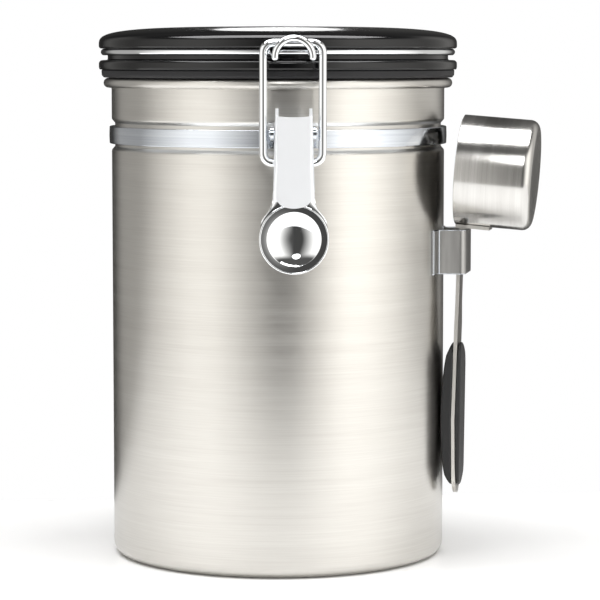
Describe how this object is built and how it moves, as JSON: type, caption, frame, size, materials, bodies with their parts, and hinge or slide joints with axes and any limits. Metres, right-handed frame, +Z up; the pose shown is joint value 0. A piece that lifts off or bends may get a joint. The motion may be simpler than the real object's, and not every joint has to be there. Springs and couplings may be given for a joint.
{
  "type": "food canister with hinged lid and scoop",
  "caption": "Steel food canister with a gasketed lid on a wire hinge, an over-centre wire latch, a date dial and a scoop hung on its side.",
  "frame": {"origin": "centre of the base on the surface that the canister stands on", "axes": "+Z up along the can's axis, the latch faces -Y, and the scoop hangs towards +X"},
  "size_m": [0.1598, 0.1444, 0.1908],
  "materials": {
    "brushed_sheet": "fine horizontal brushing",
    "polished_band": "polished",
    "chrome_wire": "bright plated",
    "chrome_sheet": "bright plated",
    "scoop_strip": "satin",
    "dial_metal": "spun satin",
    "lid_plastic": "glossy moulded",
    "seal_silicone": "matte moulded",
    "valve_silicone": "matte moulded",
    "grip_rubber": "matte soft-touch"
  },
  "bodies": {
    "can": {"canister_body": "brushed_sheet", "canister_base": "brushed_sheet", "neck_band": "polished_band", "latch_bracket": "polished_band", "bracket_rivets": "polished_band", "lever_pin": "chrome_wire", "hinge_bracket": "polished_band", "hinge_rivets": "polished_band", "scoop_holder": "brushed_sheet"},
    "lid": {"lid_cap": "lid_plastic", "lid_base": "lid_plastic", "gasket": "seal_silicone", "lid_wire": "chrome_wire", "dial_bezel": "dial_metal", "dial_hub": "dial_metal", "valve_seat": "lid_plastic", "valve_disc": "valve_silicone"},
    "dial": {"date_dial": "dial_metal"},
    "lever": {"latch_lever": "chrome_sheet"},
    "loop": {"latch_loop": "chrome_wire"},
    "scoop": {"scoop_cup": "brushed_sheet", "scoop_handle": "scoop_strip", "grip_inner": "grip_rubber", "grip_outer": "grip_rubber"}
  },
  "joints": [
    {"name": "lid_hinge", "type": "hinge", "parent": "can", "child": "lid", "pos_m": [0, 0.068, 0.153], "axis": [-1, 0, 0], "range_deg": [0, 100]},
    {"name": "dial_spin", "type": "hinge", "parent": "lid", "child": "dial", "pos_m": [0, 0, 0.1878], "axis": [0, 0, 1], "continuous": true},
    {"name": "lever_pivot", "type": "hinge", "parent": "can", "child": "lever", "pos_m": [0, -0.0685, 0.1543], "axis": [-1, 0, 0], "range_deg": [0, 80]},
    {"name": "loop_pivot", "type": "hinge", "parent": "lever", "child": "loop", "pos_m": [0, -0.0685, 0.1443], "axis": [-1, 0, 0], "range_deg": [-65.3, 0]},
    {"name": "scoop_lift", "type": "slide", "parent": "can", "child": "scoop", "axis": [0.0084, -0.0023, 1], "range_m": [0, 0.097]}
  ],
  "couplings": [
    {"joint": "loop_pivot", "follows": "lever_pivot", "ratio": -0.815}
  ]
}
